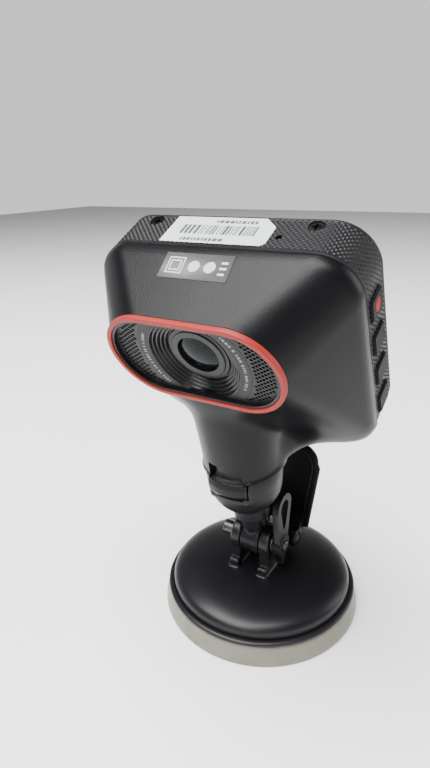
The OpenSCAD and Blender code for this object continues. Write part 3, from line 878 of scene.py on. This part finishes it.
def cup_field(x, y, z):
    bowl = cup_wall(np.hypot(x, y + CUP_SHIFT), z)
    boss = box_field(x, y, z, (-6.4, -11.2, 25.2), (6.4, -6.6, CUP_TOP), 0.8)
    post = np.minimum(box_field(x, y, z, (-5.7, 2.8, 20.6), (5.7, 7.6, 39.5), 0.5),
                      box_field(x, y, z, (-5.7, -2.2, 27), (5.7, 4, 39.5), 0.5))
    solid = smooth_min(smooth_min(bowl, boss, 1.2), post, 0.8)
    pocket = box_field(x, y, z, (-5, -14, 27.15), (5, -7.6, 36), 0.3)
    bent = np.maximum(np.maximum(np.abs(x) - 6.3, 9.8 - np.hypot(x, y)), np.maximum(27.8 - z, y))
    recess = np.maximum(bent, z - 36)
    bore = np.maximum(np.hypot(x, y) - 2.6, z - 25)
    return smooth_max(smooth_max(solid, -np.minimum(pocket, recess), 0.4), -bore, 0.3)


cup = add_field("mount_cup", cup_field, (-12.5, -13.5, 15), (12.5, 11.5, 40.5), 0.36, in_head)
smooth_shade(cup, 50)
place_piece(cup, "mount_head")


def arm_field(x, y, z):
    knuckle = rod_field(x, y, z, -3.1, 3.1, 5, 0.4)
    neck = np.minimum(rod_field(z, x, y, 2, 12, 3.1, 0.2), rod_field(z, x, y, 5.4, 11.5, 3.6, 0.4))
    collar = rod_field(z, x, y, 11, 16, 5.6, 0.7)
    stem = rod_field(z, x, y, 15, 18.5, 2.5, 0.2)
    solid = np.minimum(smooth_min(smooth_min(knuckle, neck, 0.8), collar, 1.0), stem)
    bolt = np.hypot(y, z) - 1.6
    screw = np.maximum(np.hypot(x, y) - 1.25, 10.4 - z)
    return np.maximum(np.maximum(solid, -bolt), -screw)


arm = add_field("tilt_knuckle", arm_field, (-6.5, -6.5, -6), (6.5, 6.5, 19.5), 0.3, in_head)
smooth_shade(arm, 50)
place_piece(arm, "head_arm")


LATCH_BLADE = [(9, 27.4), (11.3, 27.4), (11.3, 33), (10.6, 34.2), (10.5, NECK_H + 4.4),
               (9, NECK_H + 4.4)]
LATCH_LIP = [(11.2, 28), (12.7, 28.2), (13.15, 29.4), (13.05, 31.4), (12.4, 33), (11.2, 33.5)]


def bent_plate(x, y, z, outline, half_width, r):
    """Outline in radius and height, bent round the neck over a width, with rounded edges."""
    side = polygon_field(np.hypot(x, y), z, outline) + r
    across = np.abs(x) - half_width + r
    outside = np.hypot(np.maximum(side, 0), np.maximum(across, 0))
    return np.maximum(outside + np.minimum(np.maximum(side, across), 0) - r, y)


def latch_field(x, y, z):
    blade = bent_plate(x, y, z, LATCH_BLADE, 4.7, 0.3)
    lip = bent_plate(x, y, z, LATCH_LIP, 6.1, 0.45)
    spring = np.maximum(np.hypot(x, z - LATCH_SPRING_Z) - LATCH_SPRING_R, -10.7 - y)
    back = y + LATCH_BACK
    return np.maximum(np.maximum(smooth_min(blade, lip, 0.4), back), -spring)


tab = add_field("latch_tab", latch_field, (-7, -14, 26.4), (7, -7, NECK_H + 5.4), 0.22, in_head)
smooth_shade(tab, 50)
place_piece(tab, "latch", LATCH_BLACK)


# ---- suction base ----

def lathe(name, outline, sides=144):
    """Outline in radius and height, turned about the world's Z axis."""
    points, faces = [], []
    n = len(outline)
    for i in range(sides):
        a = 2 * math.pi * i / sides
        points += [(r * math.cos(a), r * math.sin(a), z) for r, z in outline]
    for i in range(sides):
        j = (i + 1) % sides
        faces += [[i * n + k, j * n + k, j * n + k + 1, i * n + k + 1] for k in range(n - 1)]
    obj = add_mesh(name, np.array(points), faces)
    work = bmesh.new()
    work.from_mesh(obj.data)
    bmesh.ops.remove_doubles(work, verts=work.verts, dist=1e-6)
    bmesh.ops.dissolve_degenerate(work, edges=work.edges, dist=1e-7)
    bmesh.ops.recalc_face_normals(work, faces=work.faces)
    work.to_mesh(obj.data)
    work.free()
    return obj


def dome_outline(t, rise_power, edge_power):
    """The dome from its edge to its top in radius and height, shrunk by a wall thickness t."""
    steps = 24
    found = []
    for i in range(steps + 1):
        u = 1 - (1 - i / steps) ** 1.6
        r = (DOME_R - t) * (1 - u ** rise_power) ** edge_power
        found.append((r, DOME_Z + (DOME_RISE - t) * u))
    return found


FLANGE = [(27.6, 6.5), (29, FLANGE_Z), (30.5, FLANGE_Z), (30.85, 6.42), (31, 6.7), (31, 7.1),
          (30.85, 7.42), (30.4, 7.65), (29.7, 7.8), (29.5, 7.75), (29.4, 7.6),
          (29.1, 7.55), (28.6, 7.5), (27.6, 7.5)]
dome_outer = revolved_field([(0, FLANGE_Z), (DOME_R, FLANGE_Z)] + dome_outline(0, 3.3, 0.78))
dome_inner = revolved_field([(0, 3), (DOME_R - DOME_WALL, 3)] + dome_outline(DOME_WALL, 4, 0.87))


def dome_field(x, y, z):
    r = np.hypot(x, y)
    solid = np.maximum(dome_outer(r, z), -dome_inner(r, z))
    for s in (-1, 1):
        along = s * x
        plate = rod_field(along, y - HINGE[1], z - HINGE[2], CHEEK_IN, CHEEK_OUT, CHEEK_R, 0.5)
        post = box_field(along, y, z, (CHEEK_IN, HINGE[1] - 4, CHEEK_FOOT_Z),
                         (CHEEK_OUT, HINGE[1] + 4, HINGE[2]), 0.4)
        foot = box_field(along, y, z, (CHEEK_IN, HINGE[1] - 5.6, CHEEK_FOOT_Z),
                         (CHEEK_OUT, HINGE[1] + 5.6, 17.5), 0.6)
        solid = smooth_min(solid, smooth_min(plate, np.minimum(post, foot), 0.8), 0.9)
    solid = np.minimum(solid, np.maximum(r - 4.6, np.abs(z - 12.85) - 1.65))
    solid = np.maximum(solid, -np.maximum(r - 2.6, z - 14.9))
    slot = box_field(x, y, z, (-3.2, LEVER[1] - 2.2, 9), (3.2, LEVER[1] + 2.2, 19), 0.3)
    return smooth_max(np.maximum(solid, -(np.hypot(y - HINGE[1], z - HINGE[2]) - 1.52)), -slot, 0.3)


dome = add_field("sucker_dome", dome_field, (-30.2, -30.2, 5), (30.2, 30.2, 31), 0.42)
flange = lathe("flange", FLANGE + FLANGE[:1])
combine(dome, flange, "UNION")
smooth_shade(dome, 50)
place_piece(dome, "suction_dome", DOME_BLACK)


def pressed_coil():
    """Plunger spring at the length that it has under the dome with the lever down."""
    radius, wire, turns, low, high = 3.9, 0.3, 1.6, 8.5, 10.1
    per_turn, sides = 30, 10
    count = round(per_turn * turns)
    points = []
    for i in range(count + 1):
        a = 2 * math.pi * i / per_turn
        z = low + wire + (high - low - 2 * wire) * i / count
        for k in range(sides):
            b = 2 * math.pi * k / sides
            r = radius + wire * math.cos(b)
            points.append((r * math.cos(a), LEVER[1] + r * math.sin(a), z + wire * math.sin(b)))
    faces = []
    for i in range(count):
        for k in range(sides):
            after = (k + 1) % sides
            faces.append([i * sides + k, i * sides + after, (i + 1) * sides + after, (i + 1) * sides + k])
    faces += [list(range(sides))[::-1], [count * sides + k for k in range(sides)]]
    return add_mesh("pressed_coil", points, faces)


coil = pressed_coil()
smooth_shade(coil, 50)
place_piece(coil, "plunger_spring")

disc_curve = [(0, 0), (DISC_R - 0.5, 0), (DISC_R - 0.1, 0.25), (DISC_R, 0.6), (DISC_R, 1.2),
              (DISC_R - 0.25, 2.4), (DISC_R - 0.7, 3.8), (DISC_R - 1.15, 5.2), (DISC_R - 1.4, 5.9),
              (DISC_R - 1.8, 6.25), (26.9, 6.25), (26.7, 2.6), (6.6, 2.6), (6.2, 5.8), (4.1, 5.8), (4.1, 2),
              (0, 2)]
disc = lathe("sucker_disc", disc_curve)
smooth_shade(disc, 40)
place_piece(disc, "suction_disc")


# ---- suction lever ----

PADDLE_BACK = LEVER[1] + 5.4
PADDLE_FRONT = LEVER[1] + 3.2


def paddle_outline(half, low_half, low, high, top_a, top_b):
    found = [(low_half, low), (half, high)]
    found += [(top_a - top_b + top_b * math.cos(a), high + 2 + top_b * math.sin(a))
              for a in np.linspace(0, math.pi / 2, 12)]
    return [(float(u), float(v)) for u, v in found] + [(-float(u), float(v)) for u, v in reversed(found)]


lever_edge = paddle_outline(14.3, 11.25, LEVER[2] + 2.5, LEVER_TIP_Z - 8, 13.6, 6)
lever_dish = paddle_outline(11.9, 9.5, LEVER[2] + 7.5, LEVER_TIP_Z - 8.8, 11.8, 4.6)


def lever_field(x, y, z):
    r = 0.9
    flat = polygon_field(x, z, lever_edge) + r
    deep = np.abs(y - (PADDLE_BACK + PADDLE_FRONT) / 2) - (PADDLE_BACK - PADDLE_FRONT) / 2 + r
    plate = np.hypot(np.maximum(flat, 0), np.maximum(deep, 0)) + np.minimum(np.maximum(flat, deep), 0) - r
    dish = np.maximum(polygon_field(x, z, lever_dish), y - PADDLE_FRONT - 0.95)
    solid = smooth_max(plate, -dish, 0.6)
    along = np.abs(x)
    hub = rod_field(along, y - LEVER[1], z - LEVER[2], 3.3, 9.2, 3.1, 0.5)
    t = np.clip((z - LEVER[2]) / 6, 0, 1)
    rib_y = LEVER[1] + 2.2 + 2.1 * t
    rib_round = np.hypot(y - rib_y, z - LEVER[2] - 6 * t) - (2.6 - 1.5 * t)
    rib = np.maximum(rib_round, np.abs(along - 6.25) - 2.95)
    solid = smooth_min(solid, smooth_min(hub, rib, 0.8), 1.2)
    return np.maximum(solid, -(np.hypot(y - LEVER[1], z - LEVER[2]) - 1.35))


lever = add_field("sucker_lever", lever_field, (-15.4, 4.8, 14.5), (15.4, 16, LEVER_TIP_Z + 1), 0.4)
smooth_shade(lever, 50)
place_piece(lever, "suction_lever", LEVER_BLACK)


# ---- CAD nodes that stay ----

# Width in millimetres that the edges of a CAD node are rounded by.
ROUNDED = {
    "accent_ring": 0.25, "lens_hood": 0.08, "lens_trim_ring": 0.12, "bezel_crescents": 0.06,
    "record_button": 0.28, "up_button": 0.28, "down_button": 0.28, "power_button": 0.28,
    "record_mark": 0.05, "case_screws": 0.1, "lock_lever": 0.35, "hinge_bolt": 0.3,
    "hinge_washers": 0.1, "display_window": 0.15, "neck_socket": 0.2, "usb_socket": 0.12,
    "memory_card": 0.12, "plunger": 0.2, "lever_pin": 0.2, "swivel_screw": 0.15, "serial_label": 0.03,
}
OWN_LOOKS = {"record_mark": RECORD_RED, "lock_lever": LEVER_BLACK}
replaced = {node for obj in bpy.data.objects for node in obj.get("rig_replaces", [])}
for node, obj in NODES.items():
    obj.data.materials.clear()
    obj.data.materials.append(OWN_LOOKS.get(node, LOOKS[SLOTS[node]]))
    if node not in replaced:
        soften(obj, ROUNDED.get(node, 0))


# ---- floor, light and camera ----

def add_floor():
    mesh = bpy.data.meshes.new("floor")
    reach = 1.6
    mesh.from_pydata([(-reach, -reach, 0), (reach, -reach, 0), (reach, reach, 0), (-reach, reach, 0)], [],
                     [(0, 1, 2, 3)])
    floor = add_object("floor", mesh)
    floor.location.z = -0.02 * MM
    s = Shader("floor_white", Specular_IOR_Level=0.2)
    s.connect(s.blend(s.ramp(s.noise(9, 3), 0.3, 0.7), (0.86, 0.86, 0.86), (0.9, 0.9, 0.9)), "Base Color")
    s.connect(s.ramp(s.noise(30), 0.3, 0.7, 0.6, 0.7), "Roughness")
    floor.data.materials.append(s.material)


def add_light(name, place, target, size, power):
    """A rectangular light at a place in metres, turned toward a target."""
    data = bpy.data.lights.new(name, "AREA")
    data.shape = "RECTANGLE"
    data.size, data.size_y = size
    data.energy = power
    obj = add_object(name, data)
    obj.location = place
    obj.rotation_euler = (Vector(target) - Vector(place)).to_track_quat("-Z", "Y").to_euler()


# The camera of the photo, fitted to the object's outline: its place in metres and its directions.
PHOTO_LENS = 25.72
PHOTO_PLACE = (0.068018, -0.135014, 0.136188)
PHOTO_RIGHT = (0.85179, 0.52343, -0.02175)
PHOTO_AHEAD = (-0.49375, 0.78824, -0.36726)


def add_camera():
    data = bpy.data.cameras.new("photo_view")
    data.sensor_width = 36
    data.lens = PHOTO_LENS
    data.clip_start = 0.01
    obj = add_object("photo_view", data)
    right = Vector(PHOTO_RIGHT)
    ahead = Vector(PHOTO_AHEAD)
    up = right.cross(ahead)
    turn = Matrix((right, up, -ahead)).transposed().to_4x4()
    obj.matrix_world = Matrix.Translation(PHOTO_PLACE) @ turn
    bpy.context.scene.camera = obj


add_floor()
add_light("key", (-0.13, -0.24, 0.84), (0, -0.02, 0.06), (0.75, 0.75), power=32)
add_light("front", (0.08, -0.74, 0.6), (0, -0.02, 0.1), (0.45, 0.45), power=3.4)
add_light("rim", (0.55, 0.45, 0.35), (0, 0, 0.07), (0.3, 0.5), power=2.1)
add_camera()


def add_world():
    """Bright low down, as in a white tent, and dim overhead, where only the softbox lights the object."""
    world = bpy.data.worlds.new("studio")
    world.use_nodes = True
    nodes, links = world.node_tree.nodes, world.node_tree.links
    place = nodes.new("ShaderNodeTexCoord")
    split = nodes.new("ShaderNodeSeparateXYZ")
    height = nodes.new("ShaderNodeMapRange")
    height.interpolation_type = "SMOOTHSTEP"
    for name, value in (("From Min", 0.22), ("From Max", 0.5), ("To Min", 0.92), ("To Max", 0.12)):
        height.inputs[name].default_value = value
    links.new(place.outputs["Generated"], split.inputs["Vector"])
    links.new(split.outputs["Z"], height.inputs["Value"])
    links.new(height.outputs["Result"], nodes["Background"].inputs["Strength"])
    nodes["Background"].inputs["Color"].default_value = (1, 1, 1, 1)
    bpy.context.scene.world = world


add_world()
